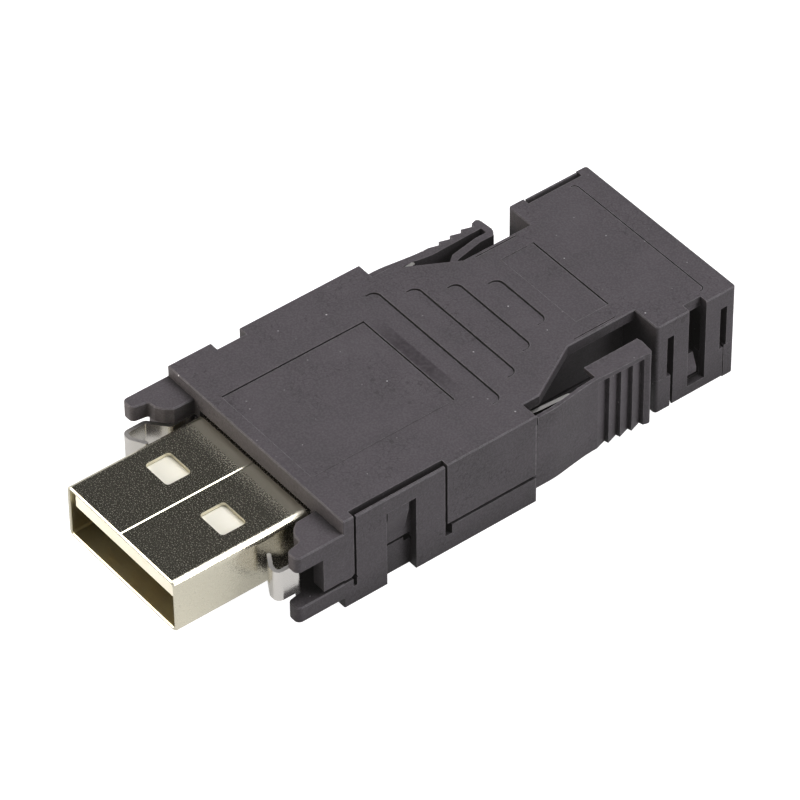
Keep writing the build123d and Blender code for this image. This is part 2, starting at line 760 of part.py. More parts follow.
with BuildPart() as left_latch_strip:
    add(right_latch_strip.part, rotation=(0, 180, 0))
left_latch_strip.part.label = "left_latch_strip"

with BuildPart() as plug_shield:
    with BuildSketch(Plane.XZ):
        RectangleRounded(2 * shield_half_width, 2 * shield_half_height, shield_corner)
        RectangleRounded(
            2 * (shield_half_width - shield_sheet), 2 * (shield_half_height - shield_sheet),
            shield_corner - shield_sheet, mode=Mode.SUBTRACT,
        )
    extrude(amount=-shield_length)
    chamfer(plug_shield.faces().sort_by(Axis.Y)[0].edges(), shield_edge_break)
    # Butt seam along the upper face, its edges broken, and latch windows through both wide faces
    seam = [
        (-seam_width / 2, 0),
        (seam_width / 2, 0),
        (seam_width / 2, shield_half_height - seam_bevel),
        (seam_width / 2 + seam_bevel, shield_half_height),
        (seam_width / 2 + seam_bevel, shield_half_height + 1.0),
        (-seam_width / 2 - seam_bevel, shield_half_height + 1.0),
        (-seam_width / 2 - seam_bevel, shield_half_height),
        (-seam_width / 2, shield_half_height - seam_bevel),
    ]
    end_outline(seam, -1.0, shield_length + 1.0, Mode.SUBTRACT)
    with BuildSketch(Plane.XY.offset(-shield_half_height - 1.0)):
        for side in (1, -1):
            with Locations((side * (window_x + window_width / 2), window_y + window_length / 2)):
                RectangleRounded(window_width, window_length, window_corner)
    extrude(amount=2 * shield_half_height + 2.0, mode=Mode.SUBTRACT)
plug_shield.part.label = "plug_shield"

contact_places = [
    ("power_contact", -contact_pitch_inner / 2 - contact_pitch_outer),
    ("data_minus_contact", -contact_pitch_inner / 2),
    ("data_plus_contact", contact_pitch_inner / 2),
    ("ground_contact", contact_pitch_inner / 2 + contact_pitch_outer),
]
contact_low_z = tongue_low_z - contact_proud
contact_high_z = contact_low_z + contact_thickness
contact_bend_y = block_y + contact_bend_setback
shield_inside_x = shield_half_width - shield_sheet
shield_inside_z = shield_half_height - shield_sheet

with BuildPart() as contact_insulator:
    block(-shield_inside_x + tongue_side_gap, shield_inside_x - tongue_side_gap,
          tongue_front_y, core_front_y + 0.5, tongue_low_z, shield_inside_z - tongue_fit)
    block(-shield_inside_x + core_side_gap, shield_inside_x - core_side_gap,
          core_front_y, shield_length, -shield_inside_z + tongue_fit, shield_inside_z - tongue_fit)
    for name, x in contact_places:
        half = contact_width / 2 + slot_fit
        block(x - half, x + half, contact_front_y - 0.3, shield_length + 1.0,
              contact_low_z - slot_fit, contact_high_z + slot_fit, Mode.SUBTRACT)
    chamfer(contact_insulator.edges().filter_by(Axis.X).group_by(Axis.Y)[0], 0.2)
contact_insulator.part.label = "contact_insulator"

contacts = []
for name, x in contact_places:
    with BuildPart() as contact:
        half = contact_width / 2
        block(x - half, x + half, contact_front_y, contact_bend_y + contact_thickness,
              contact_low_z, contact_high_z)
        block(x - half, x + half, contact_bend_y, contact_bend_y + contact_thickness,
              contact_low_z, contact_high_z + fork_height)
        block(x - fork_slot / 2, x + fork_slot / 2, contact_bend_y - 0.5, contact_bend_y + 1.0,
              contact_high_z + fork_height - fork_slot_depth, far, Mode.SUBTRACT)
        chamfer(contact.edges().filter_by(Axis.X).group_by(Axis.Y)[0], 0.1)
    contact.part.label = name
    contacts.append(contact.part)

inner_half_width = chamber_half_width - inner_clear
inner_half_height = plate_under - inner_clear
block_half_width = inner_half_width - inner_sheet - block_side_gap
block_half_height = inner_half_height - inner_sheet - block_floor_gap
block_top_z = contact_high_z + block_top_rise
wire_z = block_top_z + wire_rise
with BuildPart() as wire_block:
    block(-block_half_width, block_half_width, block_y, block_end_y, -block_half_height, block_top_z)
    for name, x in contact_places:
        half = contact_width / 2 + slot_fit
        # Slot for the contact, open upwards so that the contact drops in
        block(x - half, x + half, block_y - 1.0, contact_bend_y + contact_thickness + slot_fit,
              contact_low_z - slot_fit, far, Mode.SUBTRACT)
    # Side posts guide the cap
    for side in (1, -1):
        block(side * (block_half_width - post_width), side * block_half_width, block_y + post_inset,
              block_end_y - post_inset, block_top_z - 0.1, block_half_height - 0.4)
wire_block.part.label = "wire_block"

with BuildPart() as wire_cap:
    block(-block_half_width, block_half_width, block_y + cap_inset, block_end_y,
          block_top_z + cap_gap, block_half_height)
    for name, x in contact_places:
        with Locations(Location((x, block_y + block_length / 2, wire_z), (90, 0, 0))):
            Cylinder(wire_radius, block_length + 2.0, mode=Mode.SUBTRACT)
        half = contact_width / 2 + slot_fit + 0.06
        block(x - half, x + half, contact_bend_y - 0.1, contact_bend_y + contact_thickness + 0.1,
              0, contact_high_z + fork_height + 0.1, Mode.SUBTRACT)
    for side in (1, -1):
        block(side * (block_half_width - post_width - 0.05), side * (block_half_width + 1.0),
              block_y + post_inset - 0.05, block_end_y - post_inset + 0.05,
              0, block_half_height - 0.35, Mode.SUBTRACT)
wire_cap.part.label = "wire_cap"

with BuildPart() as upper_inner_shield:
    block(-inner_half_width, inner_half_width, inner_y, inner_end_y, half_gap, inner_half_height)
    block(-inner_half_width + inner_sheet, inner_half_width - inner_sheet, inner_y - 1.0,
          inner_end_y - inner_sheet, -1.0, inner_half_height - inner_sheet, Mode.SUBTRACT)
    with Locations(Location((0, inner_end_y - inner_sheet + barrel_length / 2, 0), (90, 0, 0))):
        Cylinder(barrel_radius + inner_sheet, barrel_length)
    with Locations(Location((0, inner_end_y + barrel_length / 2, 0), (90, 0, 0))):
        Cylinder(barrel_radius, barrel_length + 2.0, mode=Mode.SUBTRACT)
    block(-far, far, 0, far * 2, -far, half_gap, Mode.SUBTRACT)
upper_inner_shield.part.label = "upper_inner_shield"

with BuildPart() as lower_inner_shield:
    add(upper_inner_shield.part, rotation=(0, 180, 0))
lower_inner_shield.part.label = "lower_inner_shield"

with BuildPart() as crimp_ferrule:
    with BuildSketch(Plane.XZ.offset(-inner_end_y - ferrule_setback)):
        Circle(barrel_radius + inner_sheet + ferrule_gap + ferrule_sheet)
        Circle(barrel_radius + inner_sheet + ferrule_gap, mode=Mode.SUBTRACT)
    extrude(amount=-ferrule_length)
crimp_ferrule.part.label = "crimp_ferrule"

finished = [
    upper_shell.part,
    lower_shell.part,
    right_release_lever.part,
    left_release_lever.part,
    right_latch_strip.part,
    left_latch_strip.part,
    plug_shield.part,
    contact_insulator.part,
    *contacts,
    wire_block.part,
    wire_cap.part,
    upper_inner_shield.part,
    lower_inner_shield.part,
    crimp_ferrule.part,
]
for piece in finished:
    export_step(piece, f"parts/{piece.label}.step")
    size = piece.bounding_box().size
    print(piece.label, len(piece.solids()), round(size.X, 2), round(size.Y, 2), round(size.Z, 2))
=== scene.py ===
# %% [markdown]
# # A USB-A plug for fitting to a cable, dressed for its portrait
#
# The plug is two dark plastic half shells snapped round a bright plug insert. The solids are
# already exact, so this lesson is about what solids can't say: how each surface was made, how the
# light falls on it, and where the camera stood. Lengths are in metres, as Blender likes them, but
# a maker thinks of this plug in millimetres, so one factor turns one into the other.

import json
import math

import bpy
import numpy as np
from mathutils import Matrix, Vector


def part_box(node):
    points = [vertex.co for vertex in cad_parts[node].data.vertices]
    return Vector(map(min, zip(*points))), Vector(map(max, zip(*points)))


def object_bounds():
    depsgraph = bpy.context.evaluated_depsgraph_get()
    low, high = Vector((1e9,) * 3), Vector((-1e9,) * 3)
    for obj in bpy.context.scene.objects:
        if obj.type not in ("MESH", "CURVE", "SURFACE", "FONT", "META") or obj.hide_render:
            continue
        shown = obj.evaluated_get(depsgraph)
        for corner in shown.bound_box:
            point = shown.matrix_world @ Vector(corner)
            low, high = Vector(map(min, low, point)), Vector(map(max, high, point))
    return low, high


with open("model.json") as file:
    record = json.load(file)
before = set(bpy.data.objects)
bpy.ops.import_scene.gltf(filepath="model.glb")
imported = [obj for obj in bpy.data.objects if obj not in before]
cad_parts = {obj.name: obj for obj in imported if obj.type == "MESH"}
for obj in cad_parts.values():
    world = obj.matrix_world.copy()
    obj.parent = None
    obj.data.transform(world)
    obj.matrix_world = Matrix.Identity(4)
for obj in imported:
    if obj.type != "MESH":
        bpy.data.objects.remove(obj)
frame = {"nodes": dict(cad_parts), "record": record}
cad_low, cad_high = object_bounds()
MM = 0.001
scene = bpy.context.scene
nodes = frame["nodes"]
print("solids loaded:", len(nodes))
print("box of the solids in mm:", [round(v / MM, 2) for v in (cad_high - cad_low)])

# %% [markdown]
# ## Colours and nodes
#
# Colours are written as the hex values one would pick from a swatch. Blender mixes light, which
# adds up linearly, so one function undoes the curve that the swatch values carry. A second small
# function adds a shader node with its settings and its links in one line, which keeps each
# finish short enough to read like a recipe. A third starts a material with the piece's own
# coordinates, so that a pattern stays on the piece when it moves.

# %% Colour and node helpers


def hex_linear(text):
    """sRGB hex to linear RGBA: below 0.04045 the curve is a line, above it is a 2.4 power."""
    channels = np.array([int(text[i:i + 2], 16) for i in (1, 3, 5)]) / 255.0
    low = channels / 12.92
    high = ((channels + 0.055) / 1.055) ** 2.4
    return (*np.where(channels <= 0.04045, low, high).tolist(), 1.0)


def add_node(tree, kind, settings=None, inputs=None, stops=()):
    """Adds one node. An input is set to a value, or linked where the value is a socket, and
    stops are a colour ramp's positions, each with a hex colour or a grey level."""
    node = tree.nodes.new(kind)
    for name, value in (settings or {}).items():
        setattr(node, name, value)
    for name, value in (inputs or {}).items():
        socket = node.inputs[name]
        if isinstance(value, bpy.types.NodeSocket):
            tree.links.new(value, socket)
        else:
            socket.default_value = value
    while stops and len(node.color_ramp.elements) < len(stops):
        node.color_ramp.elements.new(0.5)
    for element, (position, value) in zip(node.color_ramp.elements if stops else (), stops):
        element.position = position
        element.color = hex_linear(value) if isinstance(value, str) else (value,) * 3 + (1.0,)
    return node


def start_material(name):
    """A material without nodes but for one that gives the piece's own coordinates."""
    material = bpy.data.materials.new(name)
    material.use_nodes = True
    tree = material.node_tree
    tree.nodes.clear()
    return material, tree, add_node(tree, "ShaderNodeTexCoord").outputs["Object"]


def finish_with(tree, shader):
    """Leads a shader's surface to the material's output."""
    add_node(tree, "ShaderNodeOutputMaterial", inputs={"Surface": shader.outputs[0]})


print("a mid grey swatch is", round(hex_linear("#808080")[0], 3), "in linear light")

# %% [markdown]
# ## The grain of the housing
#
# Both half shells and both levers are PBT with a little glass fibre, moulded in a spark-eroded
# tool. The tool leaves a fine matt grain, and the fibre makes the dark grey a little cloudy, so the
# eye sees something softer than a shiny case. A picture of real plastic could be wrapped on it, but
# that brings its own dirt and light along. Two noises do it here: a slow one picks between three
# greys, and a fine one lightens its own peaks. Real grain of 0.05 mm would vanish at this
# distance, so it is drawn at 0.14 mm.

# %% Grain
GRAIN_MM = 0.14
GRAIN_PEAKS = (0.42, 0.62)
GRAIN_SHARE = 0.3
GRAIN_GREY = "#6a666a"
CLOUD_MM = 2.6
CLOUD_GREYS = [(0.3, "#4c484b"), (0.52, "#514c50"), (0.75, "#565155")]
TINTS = {"data_type": "RGBA"}


def grained_grey(tree, place):
    """Colour = cloud greys, mixed with a lighter grey by the grain's height above its middle."""
    cloud = add_node(tree, "ShaderNodeTexNoise", inputs={
        "Vector": place, "Scale": 1 / (CLOUD_MM * MM), "Detail": 4.0, "Roughness": 0.62})
    greys = add_node(tree, "ShaderNodeValToRGB", inputs={"Fac": cloud.outputs["Fac"]},
                     stops=CLOUD_GREYS)
    grain = add_node(tree, "ShaderNodeTexNoise", inputs={
        "Vector": place, "Scale": 1 / (GRAIN_MM * MM), "Detail": 2.0, "Roughness": 0.5})
    peaks = add_node(tree, "ShaderNodeMapRange", inputs={
        "Value": grain.outputs["Fac"], "From Min": GRAIN_PEAKS[0], "From Max": GRAIN_PEAKS[1],
        "To Max": GRAIN_SHARE})
    mixed = add_node(tree, "ShaderNodeMix", TINTS, {
        "Factor": peaks.outputs["Result"], "A": greys.outputs["Color"],
        "B": hex_linear(GRAIN_GREY)})
    return mixed.outputs["Result"], grain.outputs["Fac"]


print("grain of 0.05 mm drawn at", GRAIN_MM, "mm")

# %% [markdown]
# ## Flow curls
#
# Where the melt folded in the tool, thin dark curls wander through the skin, gathered in patches.
# They could be drawn as curves by hand, but a noise already holds such lines: everywhere it crosses
# its middle value. A ramp keeps a thin band round that value, and a slower noise says in which
# patches it may show.

# %% Flow curls
CURL_MM = 0.55
CURL_PATCH_MM = 4.5
CURL_BAND = [(0.0, 0.0), (0.475, 0.0), (0.5, 1.0), (0.525, 0.0)]
CURL_PATCHES = (0.5, 0.6)
CURL_SHARE = 0.6
CURL_GREY = "#383436"
TIMES = {"operation": "MULTIPLY"}


def flow_curls(tree, place, colour):
    """Share of the dark grey = band of the fine noise times height of the slow noise."""
    curls = add_node(tree, "ShaderNodeTexNoise", inputs={
        "Vector": place, "Scale": 1 / (CURL_MM * MM), "Detail": 1.0, "Roughness": 0.5})
    slow = add_node(tree, "ShaderNodeTexNoise", inputs={
        "Vector": place, "Scale": 1 / (CURL_PATCH_MM * MM), "Detail": 1.0, "Roughness": 0.5})
    band = add_node(tree, "ShaderNodeValToRGB", inputs={"Fac": curls.outputs["Fac"]},
                    stops=CURL_BAND)
    patches = add_node(tree, "ShaderNodeMapRange", inputs={
        "Value": slow.outputs["Fac"], "From Min": CURL_PATCHES[0], "From Max": CURL_PATCHES[1],
        "To Max": CURL_SHARE})
    share = add_node(tree, "ShaderNodeMath", TIMES, {
        0: band.outputs["Color"], 1: patches.outputs["Result"]})
    mixed = add_node(tree, "ShaderNodeMix", TINTS, {
        "Factor": share.outputs[0], "A": colour, "B": hex_linear(CURL_GREY)})
    return mixed.outputs["Result"], curls.outputs["Fac"]


print("curls about", CURL_MM, "mm across, in patches of", CURL_PATCH_MM, "mm")

# %% [markdown]
# ## A darker band and a painted shadow beside the shallow recess
#
# The top of the housing has a wide, shallow recess. Behind it a band across the top is drawn
# darker, and a painted shadow, a thin dark line, lies along the foot of its right edge. Both are
# painted flat on the colour, as a dent would be too much. Each is a window in the piece's own
# coordinates: full where a value lies between two limits, and softly nothing outside them.

# %% Darker band and painted foot shadow
DARK_BAND_HALF_MM = 4.7
DARK_BAND_X_FADE_MM = 3.0
DARK_BAND_Y_MM = (23.97, 25.05)
DARK_BAND_Y_FADE_MM = 0.12
DARK_BAND_GREY = "#3c373b"
RUB_MM = 0.3
RUB_RANGE = (0.3, 0.6)
RUB_LEAST = 0.5
FOOT_X_MM = (4.93, 5.05)
FOOT_X_FADE_MM = 0.03
FOOT_Y_MM = (11.6, 24.2)
FOOT_Y_FADE_MM = 1.5
FOOT_SHADOW_SHARE = 0.75
FOOT_SHADOW_GREY = "#2c282a"
BELOW_TOP_MM = 0.15
BEYOND = {"operation": "GREATER_THAN"}
marks_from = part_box("upper_shell")[1][2] - BELOW_TOP_MM * MM


def soft_window(tree, value, limits_mm, fade_mm):
    """A rising slope times a falling slope, each clamped from 0 to 1."""
    low, high, fade = limits_mm[0] * MM, limits_mm[1] * MM, fade_mm * MM
    rise = add_node(tree, "ShaderNodeMapRange", inputs={
        "Value": value, "From Min": low, "From Max": low + fade})
    fall = add_node(tree, "ShaderNodeMapRange", inputs={
        "Value": value, "From Min": high - fade, "From Max": high, "To Min": 1.0, "To Max": 0.0})
    both = add_node(tree, "ShaderNodeMath", TIMES, {
        0: rise.outputs["Result"], 1: fall.outputs["Result"]})
    return both.outputs[0]


def top_mark(tree, place, x_limits, x_fade, y_limits, y_fade):
    """Window along x times window along y, kept only near the top of the housing."""
    spot = add_node(tree, "ShaderNodeSeparateXYZ", inputs={"Vector": place})
    flat = add_node(tree, "ShaderNodeMath", TIMES, {
        0: soft_window(tree, spot.outputs["X"], x_limits, x_fade),
        1: soft_window(tree, spot.outputs["Y"], y_limits, y_fade)})
    above = add_node(tree, "ShaderNodeMath", BEYOND, {0: spot.outputs["Z"], 1: marks_from})
    kept = add_node(tree, "ShaderNodeMath", TIMES, {0: flat.outputs[0], 1: above.outputs[0]})
    return kept.outputs[0]


def band_and_painted_shadow(tree, place, colour):
    """The darker band, which a fine noise breaks up, and over it the painted foot shadow."""
    # A darker band across the top behind the recess.
    dark_band = top_mark(tree, place, (-DARK_BAND_HALF_MM, DARK_BAND_HALF_MM), DARK_BAND_X_FADE_MM, DARK_BAND_Y_MM,
                    DARK_BAND_Y_FADE_MM)
    rub = add_node(tree, "ShaderNodeTexNoise", inputs={
        "Vector": place, "Scale": 1 / (RUB_MM * MM), "Detail": 2.0, "Roughness": 0.5})
    rubbed = add_node(tree, "ShaderNodeMapRange", inputs={
        "Value": rub.outputs["Fac"], "From Min": RUB_RANGE[0], "From Max": RUB_RANGE[1],
        "To Min": RUB_LEAST})
    dark_band_share = add_node(tree, "ShaderNodeMath", TIMES, {0: dark_band, 1: rubbed.outputs["Result"]})
    banded = add_node(tree, "ShaderNodeMix", TINTS, {
        "Factor": dark_band_share.outputs[0], "A": colour, "B": hex_linear(DARK_BAND_GREY)})
    # Painted shadow: a thin dark line along the foot of the recess's right edge.
    foot_shadow = top_mark(tree, place, FOOT_X_MM, FOOT_X_FADE_MM, FOOT_Y_MM, FOOT_Y_FADE_MM)
    foot_shadow_share = add_node(tree, "ShaderNodeMath", TIMES, {0: foot_shadow, 1: FOOT_SHADOW_SHARE})
    shadowed = add_node(tree, "ShaderNodeMix", TINTS, {
        "Factor": foot_shadow_share.outputs[0], "A": banded.outputs["Result"], "B": hex_linear(FOOT_SHADOW_GREY)})
    return shadowed.outputs["Result"]


print("marks only above", round(marks_from / MM, 2), "mm")

# %% [markdown]
# ## Worn edges and painted edge highlights
#
# Edges of dark plastic turn pale where hands and tools rub them, and their slight rounding catches
# the lamps, so this pale grey is partly wear and partly a painted highlight. Painting each edge by
# hand is slow and misses some. The Bevel node looks at the shape as if its edges were rounded, so
# where its normal and the true one part, there is an edge. Real rubs are uneven, so the noise of
# the curls scales them.

# %% Worn edges and painted edge highlights
PALE_EDGE_MM = 0.12
PALE_EDGE_AGREEMENT = (0.99, 0.85)
WEAR_AND_HIGHLIGHT_SHARE = 0.4
WEAR_AND_HIGHLIGHT_GREY = "#a29ea0"
UNEVEN_RANGE = (0.35, 0.6)
UNEVEN_LEAST = 0.3


def worn_and_highlit_edges(tree, colour, curls):
    """Share of the pale grey = how far the rounded and true normals part, times a noise."""
    rounded = add_node(tree, "ShaderNodeBevel", {"samples": 6}, {"Radius": PALE_EDGE_MM * MM})
    shape = add_node(tree, "ShaderNodeNewGeometry")
    agree = add_node(tree, "ShaderNodeVectorMath", {"operation": "DOT_PRODUCT"}, {
        0: rounded.outputs["Normal"], 1: shape.outputs["True Normal"]})
    worn_and_highlit = add_node(tree, "ShaderNodeMapRange", inputs={
        "Value": agree.outputs["Value"], "From Min": PALE_EDGE_AGREEMENT[0],
        "From Max": PALE_EDGE_AGREEMENT[1], "To Min": 0.0, "To Max": WEAR_AND_HIGHLIGHT_SHARE})
    uneven = add_node(tree, "ShaderNodeMapRange", inputs={
        "Value": curls, "From Min": UNEVEN_RANGE[0], "From Max": UNEVEN_RANGE[1],
        "To Min": UNEVEN_LEAST})
    share = add_node(tree, "ShaderNodeMath", TIMES, {
        0: worn_and_highlit.outputs["Result"], 1: uneven.outputs["Result"]})
    # Wear and painted highlight: the edges are lightened in the colour.
    mixed = add_node(tree, "ShaderNodeMix", TINTS, {
        "Factor": share.outputs[0], "A": colour, "B": hex_linear(WEAR_AND_HIGHLIGHT_GREY)})
    return mixed.outputs["Result"]


# Pale edges: partly wear, partly a painted highlight.
print("edges worn", PALE_EDGE_MM, "mm wide")

# %% [markdown]
# ## Dust
#
# A few specks of dust sit on any dark plastic. They could be tiny meshes, but they are flat and far
# too small. A cell pattern gives every cell a middle and a random colour: a spot is dust when it is
# close to a middle, and the colour's red says how strong that speck is. Real specks are about
# 0.05 mm wide, and these are drawn at twice that, or the render would lose them.

# %% Dust
SPECK_CELL_MM = 0.7
SPECK_RADIUS = 0.085
SPECK_STRENGTHS = [(0.0, 0.0), (0.7, 0.0), (0.92, 0.25), (1.0, 1.0)]
SPECK_GREY = "#c9c6c8"
BELOW = {"operation": "LESS_THAN"}


def dust(tree, place, colour):
    """Share of the light grey = 1 within a radius of a cell's middle, times its strength."""
    cells = add_node(tree, "ShaderNodeTexVoronoi", {"feature": "F1"}, {
        "Vector": place, "Scale": 1 / (SPECK_CELL_MM * MM), "Randomness": 1.0})
    near = add_node(tree, "ShaderNodeMath", BELOW, {
        0: cells.outputs["Distance"], 1: SPECK_RADIUS})
    picked = add_node(tree, "ShaderNodeSeparateColor", inputs={"Color": cells.outputs["Color"]})
    strength = add_node(tree, "ShaderNodeValToRGB", inputs={"Fac": picked.outputs["Red"]},
                        stops=SPECK_STRENGTHS)
    share = add_node(tree, "ShaderNodeMath", TIMES, {
        0: near.outputs[0], 1: strength.outputs["Color"]})
    mixed = add_node(tree, "ShaderNodeMix", TINTS, {
        "Factor": share.outputs[0], "A": colour, "B": hex_linear(SPECK_GREY)})
    return mixed.outputs["Result"]


print("specks", round(2 * SPECK_RADIUS * SPECK_CELL_MM, 2), "mm wide")

# %% [markdown]
# ## Painted shade in the recesses
#
# Slots and bays lie in shade, and their colour is darkened as painted shade. The shapes
# are already deep, but a lamp as large as a ceiling still reaches into them. How open a spot is
# tells how deep it lies, and the colour goes nearly black where walls close in within 5 mm.

# %% Painted recess shade
RECESS_MM = 5.0
OPEN_RANGE = (0.3, 0.78)
OPEN_LEAST = 0.2
RECESS_SHADE_BLACK = "#0c0b0a"


def painted_recess_shade(tree, colour):
    """Painted shade: share of the colour itself = how open the spot is, and the rest is nearly
    black.
    """
    openness = add_node(tree, "ShaderNodeAmbientOcclusion", {"samples": 6}, {
        "Distance": RECESS_MM * MM})
    share = add_node(tree, "ShaderNodeMapRange", inputs={
        "Value": openness.outputs["AO"], "From Min": OPEN_RANGE[0], "From Max": OPEN_RANGE[1],
        "To Min": OPEN_LEAST, "To Max": 1.0})
    # Painted shade: the colour goes nearly black where walls close in.
    mixed = add_node(tree, "ShaderNodeMix", TINTS, {
        "Factor": share.outputs["Result"], "A": hex_linear(RECESS_SHADE_BLACK), "B": colour})
    return mixed.outputs["Result"]


print("recesses darken where walls are within", RECESS_MM, "mm")

# %% [markdown]
# ## The moulded plastic, put together
#
# The real layers go on in the order in which they came to the part: resin and grain first, then
# the marks of moulding with a darker band, then wear, then dust. Painted light goes with them: a
# painted shadow line beside the recess, painted highlights on the worn edges, and last the painted
# shade of the recesses. The sheen is low and broad, as a fibre-filled plastic has it. A lens never
# draws a hole fully black, because stray light veils it, so the plastic gives off a faint warm
# glow of half a percent, too weak to show anywhere but in the deepest slots.

# %% Moulded housing plastic
GRAIN_HEIGHT_MM = 0.02
LENS_VEIL = 0.005


def moulded_pbt():
    """Grain, curls, a darker band with a painted shadow line, worn edges with painted highlights,
    dust and painted recess shade, one over the other.
    """
    material, tree, place = start_material("moulded_pbt")
    colour, grain = grained_grey(tree, place)
    colour, curls = flow_curls(tree, place, colour)
    colour = band_and_painted_shadow(tree, place, colour)
    colour = worn_and_highlit_edges(tree, colour, curls)
    colour = dust(tree, place, colour)
    colour = painted_recess_shade(tree, colour)
    bump = add_node(tree, "ShaderNodeBump", inputs={
        "Height": grain, "Strength": 0.8, "Distance": GRAIN_HEIGHT_MM * MM})
    skin = add_node(tree, "ShaderNodeBsdfPrincipled", inputs={
        "Base Color": colour, "Normal": bump.outputs["Normal"], "Roughness": 0.5,
        "Specular IOR Level": 0.2, "Emission Color": (1.0, 0.96, 0.92, 1.0),
        "Emission Strength": LENS_VEIL})
    finish_with(tree, skin)
    return material


# Dark and matt: soft shading, pale edges that are partly a painted highlight, painted shade in the
# recesses, and hardly a real highlight anywhere.
housing_plastic = moulded_pbt()
print("finish made:", housing_plastic.name)

# %% [markdown]
# ## Where the plate is duller
#
# The shield is rolled steel with bright nickel plate, and the plate isn't alike all over. The
# inside of the tube gets less of it, so it is duller, and there its colour is painted darker and
# more olive as shade and light bounced from the ivory within. On top, a haze grows towards the
# housing, where the halves are pushed on, and it ends short of the gap, which stays dark. Two
# materials could be split along the edge, but the solids stay one mesh, so two shares in the
# piece's own coordinates tell where each holds.

# %% Dull places of the plate
# A little less than the sheet's thickness, so that the inner faces count as inside.
WITHIN_SHEET_MM = 0.26
HAZE_FROM_MM = 8.8
HAZE_FULL_MM = 10.2
HAZE_END_MM = 10.86
HAZE_ROUGHNESS = 0.16
shield_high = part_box("plug_shield")[1]
within_sheet = WITHIN_SHEET_MM * MM
opening_half = (shield_high[0] - within_sheet, 1.0, shield_high[2] - within_sheet)


def inside_share(tree, place):
    """1 where both |x| and |z| are less than the opening's half sizes, else 0."""
    away = add_node(tree, "ShaderNodeVectorMath", {"operation": "ABSOLUTE"}, {0: place})
    scaled = add_node(tree, "ShaderNodeVectorMath", {"operation": "DIVIDE"}, {
        0: away.outputs[0], 1: opening_half})
    parts = add_node(tree, "ShaderNodeSeparateXYZ", inputs={"Vector": scaled.outputs[0]})
    widest = add_node(tree, "ShaderNodeMath", {"operation": "MAXIMUM"}, {
        0: parts.outputs["X"], 1: parts.outputs["Z"]})
    return add_node(tree, "ShaderNodeMath", BELOW, {0: widest.outputs[0], 1: 1.0}).outputs[0]


def haze_share(tree, place):
    """Two values to multiply: a slope along y up to the gap, and 1 before the gap, else 0."""
    spot = add_node(tree, "ShaderNodeSeparateXYZ", inputs={"Vector": place})
    slope = add_node(tree, "ShaderNodeMapRange", inputs={
        "Value": spot.outputs["Y"], "From Min": HAZE_FROM_MM * MM,
        "From Max": HAZE_FULL_MM * MM, "To Min": 0.0, "To Max": HAZE_ROUGHNESS})
    before = add_node(tree, "ShaderNodeMath", BELOW, {
        0: spot.outputs["Y"], 1: HAZE_END_MM * MM})
    return slope.outputs["Result"], before.outputs[0]


print("dull inside a tube of, in mm:", [round(2 * opening_half[i] / MM, 2) for i in (0, 2)])

# %% [markdown]
# ## Bright nickel plate
#
# Nickel is warm beside the steel's blue grey. Up close its plate isn't a mirror: it copies the fine
# orange peel of the rolled sheet, which bends each reflection a little, and tiny pits scatter the
# lamps, so even a dark reflection sparkles. A smooth metal would look like chrome on a toy. The
# peel's lumps are drawn at their real size, but true pits are a few hundredths of a millimetre wide
# and are drawn at 0.09 mm, as fine as this render can show.

# %% Bright nickel plate
PEEL_MM = 0.16
PEEL_HEIGHT_MM = 0.02
PIT_MM = 0.09
PIT_DEPTHS = [(0.0, 0.0), (0.52, 0.0), (0.76, 1.0)]
PLATE_COLOUR = "#d6d1bf"
INSIDE_SHADE_COLOUR = "#aea78c"
PLATE_ROUGHNESS = 0.15
INSIDE_ROUGHNESS = 0.2
PIT_ROUGHNESS = 0.27
TIMES_PLUS = {"operation": "MULTIPLY_ADD"}


def nickel_plate():
    """Roughness = plate + inside + haze + pits; bump = peel; the base colour inside is painted
    shade, darker and more olive.
    """
    material, tree, place = start_material("bright_nickel_plate")
    peel = add_node(tree, "ShaderNodeTexNoise", inputs={
        "Vector": place, "Scale": 1 / (PEEL_MM * MM), "Detail": 3.0, "Roughness": 0.7})
    bump = add_node(tree, "ShaderNodeBump", inputs={
        "Height": peel.outputs["Fac"], "Strength": 0.6, "Distance": PEEL_HEIGHT_MM * MM})
    spots = add_node(tree, "ShaderNodeTexNoise", inputs={
        "Vector": place, "Scale": 1 / (PIT_MM * MM), "Detail": 1.0})
    pits = add_node(tree, "ShaderNodeValToRGB", inputs={"Fac": spots.outputs["Fac"]},
                    stops=PIT_DEPTHS)
    inside = inside_share(tree, place)
    # Painted shade and bounce light: the inside colour is darker and more olive.
    base = add_node(tree, "ShaderNodeMix", TINTS, {
        "Factor": inside, "A": hex_linear(PLATE_COLOUR), "B": hex_linear(INSIDE_SHADE_COLOUR)})
    dull = add_node(tree, "ShaderNodeMath", TIMES_PLUS, {
        0: inside, 1: INSIDE_ROUGHNESS, 2: PLATE_ROUGHNESS})
    haze, before_gap = haze_share(tree, place)
    hazy = add_node(tree, "ShaderNodeMath", TIMES_PLUS, {
        0: haze, 1: before_gap, 2: dull.outputs[0]})
    rough = add_node(tree, "ShaderNodeMath", TIMES_PLUS, {
        0: pits.outputs["Color"], 1: PIT_ROUGHNESS, 2: hazy.outputs[0]})
    plate = add_node(tree, "ShaderNodeBsdfPrincipled", inputs={
        "Base Color": base.outputs["Result"], "Metallic": 1.0, "Roughness": rough.outputs[0],
        "Normal": bump.outputs["Normal"]})
    finish_with(tree, plate)
    return material


# Warm and bright: it shows the room, broken up by peel and pits.
shield_plate = nickel_plate()
print("finish made:", shield_plate.name)

